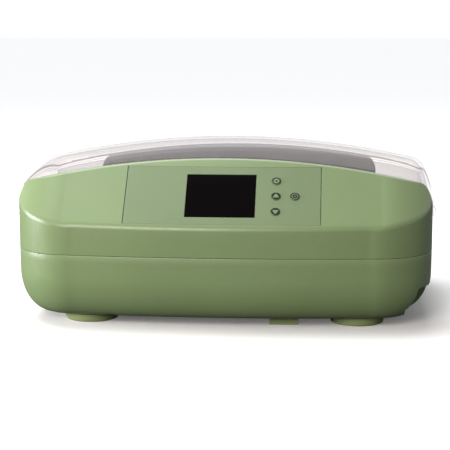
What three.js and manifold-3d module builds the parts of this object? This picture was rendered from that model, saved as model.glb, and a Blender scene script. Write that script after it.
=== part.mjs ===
// Tabletop egg incubator: a green two-piece moulded body on four round feet, a sloping
// front fascia with a display and four buttons, a clear lift-off lid, and inside it a
// water tray, a sliding roller tray that turns the eggs, and a rear air duct with fan
// and heater. Millimetres, +Z up, +X to the user's right, the fascia faces -Y.
// The origin is the centre of the footprint, on the surface that the feet stand on.
import * as THREE from 'three';
import { mergeVertices } from 'three/addons/utils/BufferGeometryUtils.js';
import Module from 'manifold-3d';

const wasm = await Module();
wasm.setup();

// ---------------------------------------------------------------- driving dimensions
const WALL = 2.5; // moulded wall
const GAP = 0.3; // clearance between touching pieces
const HALF_W = 158; // body half width
const FRONT_Y = -125; // foremost point of the body, on its centre line
const REAR_Y = 121.5;
const CORNER_R = 47.5; // vertical corners of the body
const BULGE = 6.4; // how far the front bows out between its corners
const FOOT_H = 6.5; // underside of the body above the ground
const SEAM_Z = 55; // joint line of the two shells
const LEDGE_Z = 83.7; // top of the upper shell's side and rear walls
const BASE_ROUND = { wide: 20, high: 31 }; // elliptical round-up of the base

const TILT = THREE.MathUtils.degToRad(43.5); // fascia, measured from vertical
const CREASE_Z = 77; // lower edge of the fascia
const RIM_Z = 123.7; // top of the fascia's arch
const ARCH_R = 649;
const FASCIA_HALF_W = 162.5;
const FASCIA_CORNER_R = 44;
const RIM_BACK_Y = -77.5; // rear face of the rim, in front of the lid
const STEP_DROP = 4; // ledge behind the rim that carries the lid
const PARTITION_Y = -62; // wall between the electronics and the egg chamber

const CHAMBER = { x: 138, y0: -59.5, y1: 105, z: 40, cornerR: 15 };
const LID = { halfW: 161.5, flange: 2, rear: 123, bottom: 79, wall: 2.2, top: 132.5 };
const ROOF = { ridgeY: 5, fall: 0.00112, radius: 680 };

const FLOOR_TOP = 39.6; // slotted egg floor
const FLOOR = { thickness: 2.2, rows: [-48, 0, 48], y0: -12, y1: 22, slotW: 8, pitch: 24, side: 5 };
const ROLLER = { r: 8, wheelR: 9.2, axleR: 2.4, pitch: 40, count: 6, y0: -46, y1: 70 };
const CARRIAGE = { halfW: 124, bar: 6, z0: 44.5, z1: 53.5 }; // frame that carries the rollers
const PINION = { teeth: 12, r: 7.5, z: 49.1, y0: 76.6, y1: 82.6 };
const WATER = { halfW: 117, y0: -52, y1: 80, divider: 14, z0: 9.3, z1: 28, wall: 1.8 };
const DUCT = { halfW: 120, y0: 84, y1: 103, z0: 60.5, peak: 118, radius: 668, wall: 2 };
const DUCT_SLOT = { first: 44, pitch: 9, width: 4, count: 7, z0: 68, z1: 96 };
const DUCT_MOUTH_R = 19.4;
const FAN = { z: 88, size: 40, bore: 18.8, y0: 86.4, depth: 10, blades: 7, hubR: 8.2 };
const GUARD = { rings: [21, 12], wire: 1.8, depth: 2.1 };
const HEATER = { x0: 44, x1: 98, z0: 70, z1: 98, fins: 9, pitch: 6.3, fin: 1.5 };
const REAR_VENT = { pitch: 9, width: 4, side: 3, z0: 66, z1: 76 };
const PROBE = { x: 62, z: 76 };

const PANEL = { x0: -71.5, x1: 73.5, s0: 3.5, s1: 56.5, depth: 1.6 };
const SCREEN = { x0: -26, x1: 25.4, s0: 10.4, s1: 49.2 };
const BUTTONS = {
  set: [40.6, 43.4],
  up: [40.6, 29.5],
  down: [40.6, 15.6],
  power: [54.6, 29.4],
};
const BUTTON = { r: 3.3, flangeR: 4.5, stemR: 1.5, proud: 0.6 };
const SWITCH = { half: 3, plungerR: 1.7, plunger: 8.4, top: 9.4, bottom: 11.6 }; // depths
const CONTROL_BOARD = { x0: -42, x1: 68, s0: 7, s1: 53, top: 13.4, bottom: 15 };
const DISPLAY = { margin: 3, s0: 7.5, s1: 52, top: 5.2, bottom: 11.5 };
const POST_R = 5; // screw posts that join the two shells
const SCREW = { boreR: 1.95, recessR: 4.1, headR: 3.6, headH: 3, shankR: 1.7, tip: 69 };
const POSTS = [
  { name: 'front_left', x: -84, y: -104, head: 17 },
  { name: 'front_right', x: 84, y: -104, head: 17 },
  { name: 'rear_left', x: -84, y: 113.3, head: 27 },
  { name: 'rear_right', x: 84, y: 113.3, head: 27 },
];
const FOOT_AT = [101.9, 79];
const FOOT = { r: 20.6, toeR: 19.6, h: 6.2 };
const REST_PAD = { x0: 36, x1: 57, y0: -97, y1: -83 };
const INLET_BAY = { x0: 137, y0: -100, y1: -58, top: 30 };
const INLET = { y: -79, z: 20.7, halfY: 9, halfZ: 6.5, pinGap: 5.6, pinR: 1.2, socketR: 3.9 };
const POWER_BOARD = { halfW: 58, y0: -101, y1: -67, z0: 12.7, z1: 14.3 };
const BOARD_STUDS = { x: 46, y: [-97, -71], r: 3, z0: 7, z1: 12.4 };

// ---------------------------------------------------------------- materials
function plastic(color, roughness, extra = {}) {
  return new THREE.MeshStandardMaterial({ color, roughness, metalness: 0, ...extra });
}
const GREEN = plastic(0x93a67d, 0.5);
const PANEL_GREEN = plastic(0x95aa82, 0.45);
const FOOT_GREEN = plastic(0x6e7a54, 0.6);
const CLEAR = plastic(0xece6e6, 0.08, { transparent: true, opacity: 0.35 });
const BLACK = plastic(0x100e0f, 0.25);
const DARK = plastic(0x2a2a2c, 0.55);
const GREY = plastic(0x8d8a90, 0.5);
const WHITE = plastic(0xe6e6e2, 0.45);
const BOARD = plastic(0x1f5a3a, 0.6);
const COPPER = plastic(0x8a4a22, 0.5);
const STEEL = new THREE.MeshStandardMaterial({ color: 0xb8babd, roughness: 0.35, metalness: 1 });

// ---------------------------------------------------------------- solids
function solidOf(geometry) {
  const bare = geometry.index ? geometry.toNonIndexed() : geometry.clone();
  for (const name of Object.keys(bare.attributes)) {
    if (name !== 'position') bare.deleteAttribute(name);
  }
  const merged = mergeVertices(bare, 1e-4);
  const vertProperties = new Float32Array(merged.attributes.position.array);
  const triVerts = new Uint32Array(merged.index.array);
  return new wasm.Manifold(new wasm.Mesh({ numProp: 3, vertProperties, triVerts }));
}

function geometryOf(solid) {
  const mesh = solid.getMesh();
  const geometry = new THREE.BufferGeometry();
  geometry.setAttribute('position', new THREE.BufferAttribute(mesh.vertProperties, 3));
  geometry.setIndex(new THREE.BufferAttribute(mesh.triVerts, 1));
  geometry.computeVertexNormals();
  return geometry;
}

function box(x0, x1, y0, y1, z0, z1) {
  const geometry = new THREE.BoxGeometry(x1 - x0, y1 - y0, z1 - z0);
  geometry.translate((x0 + x1) / 2, (y0 + y1) / 2, (z0 + z1) / 2);
  return solidOf(geometry);
}

/** Solid of revolution about Z from [radius, z] pairs that start and end on the axis. */
function turned(profile, sides = 24) {
  const points = profile.map(([r, z]) => new THREE.Vector2(r, z));
  const geometry = new THREE.LatheGeometry(points, sides);
  geometry.rotateX(Math.PI / 2);
  return solidOf(dropSlivers(geometry));
}

/** LatheGeometry leaves flat triangles on the axis, which a closed solid can't hold. */
function dropSlivers(geometry) {
  const flat = geometry.toNonIndexed();
  const p = flat.attributes.position;
  const kept = [];
  const corner = [new THREE.Vector3(), new THREE.Vector3(), new THREE.Vector3()];
  for (let i = 0; i < p.count; i += 3) {
    corner.forEach((v, k) => v.fromBufferAttribute(p, i + k));
    const [a, b, c] = corner;
    const thin = Math.min(a.distanceTo(b), b.distanceTo(c), c.distanceTo(a)) < 1e-4;
    if (!thin) corner.forEach((v) => kept.push(v.x, v.y, v.z));
  }
  const out = new THREE.BufferGeometry();
  out.setAttribute('position', new THREE.Float32BufferAttribute(kept, 3));
  return out;
}

function cylinder(r, z0, z1, x = 0, y = 0, sides = 20) {
  return turned([[0, z0], [r, z0], [r, z1], [0, z1]], sides).translate([x, y, 0]);
}

/** Cylinder along Y between y0 and y1, centred on (x, z). */
function cylinderY(r, y0, y1, x, z, sides = 20) {
  return turned([[0, -y1], [r, -y1], [r, -y0], [0, -y0]], sides)
    .rotate([90, 0, 0])
    .translate([x, 0, z]);
}

/** Prism along Z of a closed outline of [x, y] points. */
function prism(outline, z0, z1) {
  const shape = new THREE.Shape(outline.map(([x, y]) => new THREE.Vector2(x, y)));
  const geometry = new THREE.ExtrudeGeometry(shape, { depth: z1 - z0, bevelEnabled: false });
  geometry.translate(0, 0, z0);
  return solidOf(geometry);
}

/** Prism along Y of a closed outline of [x, z] points. */
function prismY(outline, y0, y1) {
  return prism(outline, -y1, -y0).rotate([90, 0, 0]);
}

/** Closed solid through a stack of rings that all hold the same number of points. */
function loft(rings) {
  const n = rings[0].length;
  const position = rings.flat(2);
  const index = [];
  for (let k = 0; k + 1 < rings.length; k += 1) {
    for (let i = 0; i < n; i += 1) {
      const a = k * n + i;
      const b = k * n + ((i + 1) % n);
      index.push(a, b, b + n, a, b + n, a + n);
    }
  }
  for (const [ring, up] of [[0, false], [rings.length - 1, true]]) {
    const centre = position.length / 3;
    for (const axis of [0, 1, 2]) {
      position.push(rings[ring].reduce((sum, p) => sum + p[axis], 0) / n);
    }
    for (let i = 0; i < n; i += 1) {
      const a = ring * n + i;
      const b = ring * n + ((i + 1) % n);
      index.push(...(up ? [a, b, centre] : [b, a, centre]));
    }
  }
  const geometry = new THREE.BufferGeometry();
  geometry.setAttribute('position', new THREE.Float32BufferAttribute(position, 3));
  geometry.setIndex(index);
  return solidOf(geometry);
}

function union(solids) {
  return solids.reduce((sum, next) => sum.add(next));
}

// ---------------------------------------------------------------- plan outlines
/** Points of an arc about (cx, cy), angles in degrees, end points included. */
function arc(cx, cy, r, from, to, steps) {
  const points = [];
  for (let i = 0; i <= steps; i += 1) {
    const a = THREE.MathUtils.degToRad(from + ((to - from) * i) / steps);
    points.push([cx + r * Math.cos(a), cy + r * Math.sin(a)]);
  }
  return points;
}

/** Points strictly between two [x, y] points. */
function between([x0, y0], [x1, y1], parts) {
  const points = [];
  for (let i = 1; i < parts; i += 1) {
    points.push([x0 + ((x1 - x0) * i) / parts, y0 + ((y1 - y0) * i) / parts]);
  }
  return points;
}

/** Counter-clockwise rounded rectangle whose front edge bows out by `bulge`. */
function plan({ halfW, front, rear, frontR, rearR, bulge = 0, steps = 5, parts = 1 }) {
  const straight = halfW - frontR;
  const shoulder = front + bulge;
  const bow = between([-straight, 0], [straight, 0], bulge > 0 ? 8 : parts)
    .map(([x]) => [x, front + bulge * (x / straight) ** 2]);
  const frontRight = arc(straight, shoulder + frontR, frontR, 270, 360, steps);
  const rearRight = arc(halfW - rearR, rear - rearR, rearR, 0, 90, steps);
  const rearLeft = arc(rearR - halfW, rear - rearR, rearR, 90, 180, steps);
  const frontLeft = arc(-straight, shoulder + frontR, frontR, 180, 270, steps);
  const sides = Math.ceil(parts / 2);
  return [
    ...frontLeft,
    ...bow,
    ...frontRight,
    ...between(frontRight[steps], rearRight[0], sides),
    ...rearRight,
    ...between(rearRight[steps], rearLeft[0], parts),
    ...rearLeft,
    ...between(rearLeft[steps], frontLeft[0], sides),
  ];
}

/** The body's outline in plan, moved inward by `inset`. */
function bodyPlan(inset = 0) {
  return plan({
    halfW: HALF_W - inset,
    front: FRONT_Y + inset,
    rear: REAR_Y - inset,
    frontR: CORNER_R - inset,
    rearR: CORNER_R - inset,
    bulge: BULGE,
  });
}

/** Outline of the egg chamber, moved outward by `grown`. */
function chamberPlan(grown) {
  const { x, y0, y1, cornerR } = CHAMBER;
  return plan({
    halfW: x + grown,
    front: y0 - grown,
    rear: y1 + grown,
    frontR: 3 + grown,
    rearR: cornerR + grown,
    steps: 3,
  });
}

function level(outline, z) {
  return outline.map(([x, y]) => [x, y, z]);
}

// ---------------------------------------------------------------- fascia frame
/** Drop of an arch of radius r at a distance x from its crown. */
function archDrop(x, r) {
  return r - Math.sqrt(r * r - x * x);
}

/** Everything behind the sloping fascia surface, moved inward by `depth`. */
function behindFascia(depth = 0) {
  const outline = plan({
    halfW: FASCIA_HALF_W,
    front: FRONT_Y,
    rear: REAR_Y + 80,
    frontR: FASCIA_CORNER_R,
    rearR: 20,
    bulge: BULGE,
  });
  const low = -90;
  const high = 90;
  const shape = new THREE.Shape(outline.map(([x, y]) => new THREE.Vector2(x, y)));
  const geometry = new THREE.ExtrudeGeometry(shape, { depth: high - low, bevelEnabled: false });
  geometry.translate(0, 0, low);
  geometry.applyMatrix4(new THREE.Matrix4().makeShear(0, 0, 0, 0, 0, Math.tan(TILT)));
  geometry.translate(0, depth / Math.cos(TILT), CREASE_Z);
  return solidOf(geometry);
}

/** Front-view profile of the fascia housing: leaning sides under an arched roof. */
function archProfile(drop = 0, margin = 0) {
  const half = [[HALF_W + 1, 20], [HALF_W + 0.2, 84], [157.3, 90], [155.8, 96], [153.8, 101.5]];
  const side = half.map(([x, z]) => [x + margin, z]);
  const roof = [];
  for (let i = 0; i <= 16; i += 1) {
    const x = 150 - (300 * i) / 16;
    roof.push([x * (1 + margin / 150), RIM_Z - drop - archDrop(x, ARCH_R)]);
  }
  const low = side.filter(([, z]) => z < roof[0][1] - 2);
  const mirrored = low.map(([x, z]) => [-x, z]).reverse();
  return [...low, ...roof, ...mirrored];
}

/** Point at x, at s along the slope from the crease, and at a depth below the surface. */
function onFascia(x, s, depth = 0) {
  const bow = BULGE * (x / (FASCIA_HALF_W - FASCIA_CORNER_R)) ** 2;
  return [
    x,
    FRONT_Y + bow + s * Math.sin(TILT) + depth * Math.cos(TILT),
    CREASE_Z + s * Math.cos(TILT) - depth * Math.sin(TILT),
  ];
}

/** Moves a solid built about Z = outward normal, X = x and Y = up the slope onto the fascia. */
function placeOnFascia(solid, x, s, depth = 0) {
  const lean = 90 - THREE.MathUtils.radToDeg(TILT);
  return solid.rotate([lean, 0, 0]).translate(onFascia(x, s, depth));
}

/** Block of the fascia between two depths, seen square on as x0..x1 by s0..s1. */
function fasciaBlock({ x0, x1, s0, s1 }, outer, inner) {
  const raw = box(x0, x1, s0, s1, -20, 8);
  const block = placeOnFascia(raw, 0, 0);
  return block.intersect(behindFascia(outer)).subtract(behindFascia(inner));
}

function grow({ x0, x1, s0, s1 }, by) {
  return { x0: x0 - by, x1: x1 + by, s0: s0 - by, s1: s1 + by };
}

// ---------------------------------------------------------------- shells
/** Inset of the base's wall at height z above its flat underside. */
function baseInset(z) {
  const rise = Math.min(z - FOOT_H, BASE_ROUND.high) / BASE_ROUND.high;
  const curve = BASE_ROUND.wide * (1 - Math.sqrt(1 - (1 - rise) ** 2));
  return curve + (0.8 * Math.max(SEAM_Z - z, 0)) / SEAM_Z;
}

function baseSolid(inset, top) {
  const rings = [0, 0.07, 0.2, 0.4, 0.68, 1].map((share) => {
    const z = FOOT_H + share * BASE_ROUND.high;
    return level(bodyPlan(baseInset(z) + inset), z + inset * (1 - share) ** 2);
  });
  return loft([...rings, level(bodyPlan(inset), top)]);
}

function makeBaseShell() {
  const top = SEAM_Z - GAP / 2;
  const outer = baseSolid(0, top);
  const bay = INLET_BAY;
  let shell = outer.subtract(baseSolid(WALL, top + 10));
  const bayWalls = box(bay.x0 - 3, HALF_W, bay.y0 - WALL, bay.y1 + WALL, FOOT_H, bay.top + WALL);
  shell = shell.add(bayWalls.intersect(outer));
  for (const { x, y, head } of POSTS) {
    shell = shell.add(cylinder(POST_R, FOOT_H, top, x, y, 16).intersect(outer));
    shell = shell.subtract(cylinder(SCREW.boreR, 0, top + 1, x, y, 12));
    shell = shell.subtract(cylinder(SCREW.recessR, 0, head, x, y, 16));
  }
  shell = shell.subtract(box(bay.x0, HALF_W + 5, bay.y0, bay.y1, -1, bay.top));
  shell = shell.subtract(inletBlock(bay.x0 - 5, bay.x0 + 5, GAP));
  const stud = BOARD_STUDS;
  for (const x of [-stud.x, stud.x]) {
    for (const y of stud.y) {
      shell = shell.add(cylinder(stud.r, stud.z0, stud.z1, x, y, 12).intersect(outer));
    }
  }
  return shell;
}

function makeUpperShell() {
  const bottom = SEAM_Z + GAP / 2;
  const block = (inset, low, drop) => {
    const ring = prism(bodyPlan(inset), low, LEDGE_Z - inset);
    const housing = prism(bodyPlan(inset), low, 135)
      .intersect(prismY(archProfile(drop, -inset), -140, inset > 0 ? PARTITION_Y : CHAMBER.y0));
    return ring.add(housing).intersect(behindFascia(inset));
  };
  const outer = block(0, bottom, 0);
  const cavity = block(WALL, 40, STEP_DROP + WALL);
  const room = CHAMBER;
  const liner = prism(chamberPlan(WALL), room.z, LEDGE_Z);
  const partition = box(-160, 160, PARTITION_Y, room.y0, 60, 135).intersect(outer);
  let shell = outer.subtract(cavity).add(liner).add(partition);
  for (const { x, y } of POSTS) {
    shell = shell.add(cylinder(POST_R, bottom, 120, x, y, 16).intersect(outer));
  }
  shell = shell.subtract(prism(chamberPlan(0), 30, 140));
  const step = box(-170, 170, RIM_BACK_Y, -50, 80, 140);
  shell = shell.subtract(step.subtract(prismY(archProfile(STEP_DROP), -140, 0)));
  for (const { x, y } of POSTS) {
    shell = shell.subtract(cylinder(SCREW.boreR, 50, 70, x, y, 12));
  }
  shell = shell.subtract(fasciaBlock(grow(PANEL, GAP), -1, PANEL.depth + GAP));
  shell = shell.subtract(fasciaBlock(grow(SCREEN, -1.5), -1, 12));
  for (const [x, s] of Object.values(BUTTONS)) {
    shell = shell.subtract(placeOnFascia(cylinder(BUTTON.r + GAP, -9, 1), x, s));
  }
  return shell.subtract(slotRow(REAR_VENT, room.y1 - 2, REAR_Y + 2));
}

/** Row of upright slots centred on X = 0, cut along Y. */
function slotRow({ pitch, width, side, z0, z1 }, y0, y1) {
  const slots = [];
  for (let i = -side; i <= side; i += 1) {
    slots.push(box(i * pitch - width / 2, i * pitch + width / 2, y0, y1, z0, z1));
  }
  return union(slots);
}

function makeLid() {
  const roof = (x, y) => LID.top - ROOF.fall * (y - ROOF.ridgeY) ** 2 - archDrop(x, ROOF.radius);
  const front = RIM_BACK_Y + 0.6;
  const lidPlan = (inset, rear, cut) => plan({
    halfW: LID.halfW - inset,
    front: front + cut,
    rear,
    frontR: Math.max(9 - cut, 3),
    rearR: CORNER_R + 3 - Math.min(inset, 12),
    steps: 4,
    parts: 8,
  });
  const shell = (wall) => {
    const low = wall > 0 ? -10 : 0;
    const edge = wall > 0 ? 0 : LID.flange;
    const draped = (outline, drop) => outline.map(([x, y]) => [x, y, roof(x, y) - drop - wall]);
    return loft([
      level(lidPlan(wall - edge, LID.rear + edge - wall, wall), LID.bottom + low),
      level(lidPlan(wall - edge, LID.rear + edge - wall, wall), LID.bottom + 2),
      level(lidPlan(wall, LID.rear - wall, wall), LID.bottom + 2.2),
      level(lidPlan(1.9 + wall, LID.rear - 3 - wall, wall), 93),
      draped(lidPlan(4.6 + wall, LID.rear - 7 - wall, wall), 7),
      draped(lidPlan(6.3 + wall, LID.rear - 8.5 - wall, wall + 0.4), 2.2),
      draped(lidPlan(10.5 + wall, LID.rear - 12 - wall, wall + 2), 0.2),
      draped(lidPlan(50, LID.rear - 46, 30), 0),
      draped(lidPlan(105, LID.rear - 85, 60), 0),
    ]);
  };
  const body = prism(bodyPlan(-0.6), 60, LEDGE_Z + GAP);
  const housing = prismY(archProfile(STEP_DROP - 0.35, 0.6), -160, CHAMBER.y0 + 0.6);
  return shell(0).subtract(shell(LID.wall)).subtract(body).subtract(housing);
}

// ---------------------------------------------------------------- front controls
function makeControlPanel() {
  let panel = fasciaBlock(PANEL, 0, PANEL.depth);
  panel = panel.subtract(fasciaBlock(grow(SCREEN, GAP), -2, 5));
  for (const [x, s] of Object.values(BUTTONS)) {
    panel = panel.subtract(placeOnFascia(cylinder(BUTTON.r + GAP, -9, 3), x, s));
  }
  return panel;
}

/** Key cap: a stem that reaches its switch, a flange that keeps it in, and a proud cap. */
function makeButton(x, s) {
  const { r, flangeR, stemR, proud } = BUTTON;
  const cap = turned([
    [0, -7.2], [stemR, -7.2], [stemR, -5.8], [flangeR, -5.8], [flangeR, -4.8], [r, -4.8],
    [r, proud - 0.3], [r - 0.3, proud], [0, proud],
  ], 16);
  return placeOnFascia(cap, x, s);
}

function makeSwitch(x, s) {
  const { half, plungerR, plunger, top, bottom } = SWITCH;
  const body = box(-half, half, -half, half, -bottom, -top);
  return placeOnFascia(body.add(cylinder(plungerR, -top - 0.1, -plunger, 0, 0, 12)), x, s);
}

/** Flat block lying parallel to the fascia between two depths below it. */
function fasciaSlab({ x0, x1, s0, s1, top, bottom }) {
  return placeOnFascia(box(x0, x1, s0, s1, -bottom, -top), 0, 0);
}

function makeDisplayModule() {
  const { margin } = DISPLAY;
  return fasciaSlab({ ...DISPLAY, x0: SCREEN.x0 - margin, x1: SCREEN.x1 + margin });
}

// ---------------------------------------------------------------- egg turner
function makeRoller(x) {
  const { r, wheelR, axleR, y0, y1 } = ROLLER;
  const a = y0 + 0.5;
  const b = y1 - 0.5;
  const profile = [
    [0, y0 - 5], [axleR, y0 - 5], [axleR, a], [wheelR, a], [wheelR, a + 6], [r, a + 6],
    [r, b - 6], [wheelR, b - 6], [wheelR, b], [axleR, b], [axleR, y1 + 5], [0, y1 + 5],
  ];
  const turnedProfile = profile.map(([radius, y]) => [radius, -y]).reverse();
  return turned(turnedProfile, 14).rotate([90, 0, 0]).translate([x, 0, rollerZ()]);
}

function rollerZ() {
  return FLOOR_TOP + GAP + ROLLER.wheelR;
}

function rollerX(i) {
  return (i - (ROLLER.count - 1) / 2) * ROLLER.pitch;
}

/** Toothed wheel on a short spindle that enters the motor. */
function makePinion() {
  const { teeth, r, y0, y1 } = PINION;
  const step = (2 * Math.PI) / teeth;
  const outline = [];
  for (let i = 0; i < teeth; i += 1) {
    const corner = [[-0.3, r - 1.5], [-0.13, r + 1.1], [0.13, r + 1.1], [0.3, r - 1.5]];
    for (const [share, radius] of corner) {
      const a = (i + share) * step;
      outline.push([radius * Math.sin(-a), radius * Math.cos(a)]);
    }
  }
  const wheel = prismY(outline, y0, y1);
  return wheel.add(cylinderY(1.5, y1 - 1, y1 + 8, 0, 0, 12)).translate([0, 0, PINION.z]);
}

/** Sliding frame: two long rails with the roller bearings, two end bars and the rack. */
function makeCarriage() {
  const { halfW, bar, z0, z1 } = CARRIAGE;
  const { y0, y1, axleR, count } = ROLLER;
  let frame = box(-halfW, halfW, y0 - bar, y1 + bar, z0, z1);
  frame = frame.subtract(box(bar - halfW, halfW - bar, y0, y1, z0 - 1, z1 + 1));
  for (let i = 0; i < count; i += 1) {
    frame = frame.subtract(cylinderY(axleR + GAP, y0 - 9, y1 + 9, rollerX(i), rollerZ(), 10));
  }
  return frame.add(makeRack(y1, y1 + bar, z1));
}

/** Toothed bar above the rear rail. Its teeth hang down onto the drive pinion. */
function makeRack(y0, y1, z1) {
  const pitch = (2 * Math.PI * PINION.r) / PINION.teeth;
  const line = PINION.z + PINION.r;
  const root = line + 1.6;
  const back = line + 6;
  const teeth = 12;
  const span = (pitch * (teeth + 1)) / 2;
  const tooth = [[-0.3, root], [-0.12, line - 1.1], [0.12, line - 1.1], [0.3, root]];
  const outline = [[span, back], [-span, back], [-span, root]];
  for (let i = 0; i < teeth; i += 1) {
    const x = (i - (teeth - 1) / 2) * pitch;
    outline.push(...tooth.map(([share, z]) => [x + share * pitch, z]));
  }
  outline.push([span, root]);
  const rack = prismY(outline, y1, PINION.y1 - 0.2);
  const bracket = box(-span, span, y0, y1 + 0.5, z1 - 2, back)
    .subtract(box(-span - 1, span + 1, y1, y1 + 1, z1 - 3, root));
  return rack.add(bracket);
}

function makeMotor() {
  const y0 = PINION.y1 + 0.6;
  const body = cylinderY(9, y0, y0 + 20, 0, PINION.z, 24);
  const foot = box(-8, 8, y0 + 2, y0 + 18, FLOOR_TOP + GAP, PINION.z - 2);
  return body.add(foot).subtract(cylinderY(1.9, y0 - 1, y0 + 8, 0, PINION.z, 12));
}

/** Floor below the rollers, with three rows of slots that let the moist air rise. */
function makeFloor() {
  const { thickness, rows, y0, y1, slotW, pitch, side } = FLOOR;
  let floor = prism(chamberPlan(WALL), FLOOR_TOP - thickness, FLOOR_TOP);
  for (const y of rows) {
    for (let i = -side; i <= side; i += 1) {
      const x = i * pitch;
      floor = floor.subtract(box(x - slotW / 2, x + slotW / 2, y + y0, y + y1, 30, 45));
    }
  }
  return floor;
}

function makeWaterTray() {
  const { halfW, y0, y1, divider, z0, z1, wall } = WATER;
  const channel = (from, to) => box(wall - halfW, halfW - wall, from, to, z0 + wall, z1 + 2);
  return box(-halfW, halfW, y0, y1, z0, z1)
    .subtract(channel(y0 + wall, divider))
    .subtract(channel(divider + wall, y1 - wall));
}

// ---------------------------------------------------------------- air system
function ductProfile(inset) {
  const w = DUCT.halfW - inset;
  const top = [];
  for (let i = 0; i <= 10; i += 1) {
    const x = w - 6 - ((w - 6) * i) / 5;
    top.push([x, DUCT.peak - inset - archDrop(x, DUCT.radius)]);
  }
  const edge = DUCT.peak - inset - archDrop(w, DUCT.radius) - 6;
  const base = DUCT.z0 - (inset > 0 ? 10 : 0);
  return [[w, base], [w, edge], ...top, [-w, edge], [-w, base]];
}

function makeDuct() {
  const { wall, y0, y1 } = DUCT;
  const slot = DUCT_SLOT;
  let duct = prismY(ductProfile(0), y0, y1);
  duct = duct.subtract(prismY(ductProfile(wall), y0 + wall, y1 - wall));
  duct = duct.subtract(cylinderY(DUCT_MOUTH_R, y0 - 1, y0 + 3, 0, FAN.z, 28));
  const middle = slot.first + ((slot.count - 1) * slot.pitch) / 2;
  const row = slotRow({ ...slot, side: (slot.count - 1) / 2 }, y0 - 1, y0 + 3);
  return duct.subtract(row.translate([middle, 0, 0])).subtract(row.translate([-middle, 0, 0]));
}

/** Two wire rings held by a cross, in front of the fan. */
function makeFanGuard() {
  const { rings, wire, depth } = GUARD;
  const y1 = DUCT.y0 - GAP;
  const y0 = y1 - depth;
  const reach = rings[0] - 1;
  const circles = rings.map((r) => cylinderY(r, y0, y1, 0, FAN.z, 28)
    .subtract(cylinderY(r - wire, y0 - 1, y1 + 1, 0, FAN.z, 28)));
  const level = box(-reach, reach, y0, y1, FAN.z - wire / 2, FAN.z + wire / 2);
  const upright = box(-wire / 2, wire / 2, y0, y1, FAN.z - reach, FAN.z + reach);
  return union([...circles, level, upright]).intersect(cylinderY(rings[0], y0, y1, 0, FAN.z, 28));
}

function makeFanFrame() {
  const { z, size, bore, y0, depth } = FAN;
  const half = size / 2;
  let frame = box(-half, half, y0, y0 + depth, z - half, z + half);
  frame = frame.subtract(cylinderY(bore, y0 - 1, y0 + depth + 1, 0, z, 28));
  const spider = union([0, 120, 240].map((turn) => (
    box(-1.5, 1.5, y0 + depth - 1.5, y0 + depth, 0, half - 0.5)
      .rotate([0, turn, 0])
      .translate([0, 0, z])
  )));
  return frame.add(spider).add(cylinderY(8.5, y0 + depth - 1.5, y0 + depth, 0, z, 20));
}

function makeFanRotor() {
  const { z, y0, blades, hubR } = FAN;
  const hub = cylinderY(hubR, y0 + 0.8, y0 + 8.1, 0, 0, 20);
  const blade = box(-4.8, 4.8, -0.6, 0.6, 7, 17.6).rotate([0, 0, 38]).translate([0, y0 + 4.4, 0]);
  const ring = [];
  for (let i = 0; i < blades; i += 1) {
    ring.push(blade.rotate([0, (360 * i) / blades, 0]));
  }
  return union([hub, ...ring]).translate([0, 0, z]);
}

/** Finned block inside the duct, its fins along the air's way. */
function makeHeater() {
  const { x0, x1, z0, z1, fins, pitch, fin } = HEATER;
  const y0 = DUCT.y0 + DUCT.wall + GAP;
  const rows = [box(x0, x1, y0 + 10, y0 + 13, z0, z1)];
  for (let i = 0; i < fins; i += 1) {
    const x = x0 + 1 + i * pitch;
    rows.push(box(x, x + fin, y0, y0 + 11, z0, z1));
  }
  return union(rows);
}

function makeProbe() {
  const y = CHAMBER.y0 + GAP;
  const body = turned([[0, 0], [5, 0], [5, 2], [2.6, 2], [2.6, 13], [1.6, 15], [0, 15]], 16);
  return body.rotate([-90, 0, 0]).translate([PROBE.x, y, PROBE.z]);
}

// ---------------------------------------------------------------- base fittings
function makeFoot(x, y) {
  const { r, toeR, h } = FOOT;
  return turned([[0, 0], [toeR, 0], [r, 1.2], [r, h], [0, h]], 32).translate([x, y, 0]);
}

function makeCaseScrew({ x, y, head: seat }) {
  const { headR, headH, shankR, tip } = SCREW;
  const head = seat - GAP;
  const shank = turned([
    [0, head - headH], [headR, head - headH], [headR, head], [shankR, head],
    [shankR, tip - 1], [0, tip],
  ], 14);
  const slot = box(-2.2, 2.2, -0.5, 0.5, head - 4, head - 1.6);
  return shank.subtract(slot).subtract(slot.rotate([0, 0, 90])).translate([x, y, 0]);
}

/** Rectangular block around the inlet's centre line, larger than the inlet by `grown`. */
function inletBlock(x0, x1, grown) {
  const { y, z, halfY, halfZ } = INLET;
  return box(x0, x1, y - halfY - grown, y + halfY + grown, z - halfZ - grown, z + halfZ + grown);
}

/** Two-pin inlet whose socket is a figure of eight, open to +X. */
function makeInlet() {
  const { x0 } = INLET_BAY;
  const { y, z, pinGap, socketR: r } = INLET;
  const half = pinGap / 2;
  const socket = (at) => cylinder(r, -3, 13, 0, 0, 14).rotate([0, 90, 0])
    .translate([x0 - 8, at, z]);
  return inletBlock(x0 - 12, x0 + 1.5, 0)
    .add(inletBlock(x0 + GAP, x0 + 2.5, 2))
    .subtract(socket(y - half))
    .subtract(socket(y + half))
    .subtract(box(x0 - 11, x0 + 5, y - half, y + half, z - r, z + r));
}

function makeInletPin(side) {
  return cylinder(INLET.pinR, 0, 10, 0, 0, 10).rotate([0, 90, 0])
    .translate([INLET_BAY.x0 - 10.7, INLET.y + (side * INLET.pinGap) / 2, INLET.z]);
}

// ---------------------------------------------------------------- assembly
const incubator = new THREE.Group();

function add(group, name, solid, material) {
  const mesh = new THREE.Mesh(geometryOf(solid), material);
  mesh.name = name;
  group.add(mesh);
}

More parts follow.
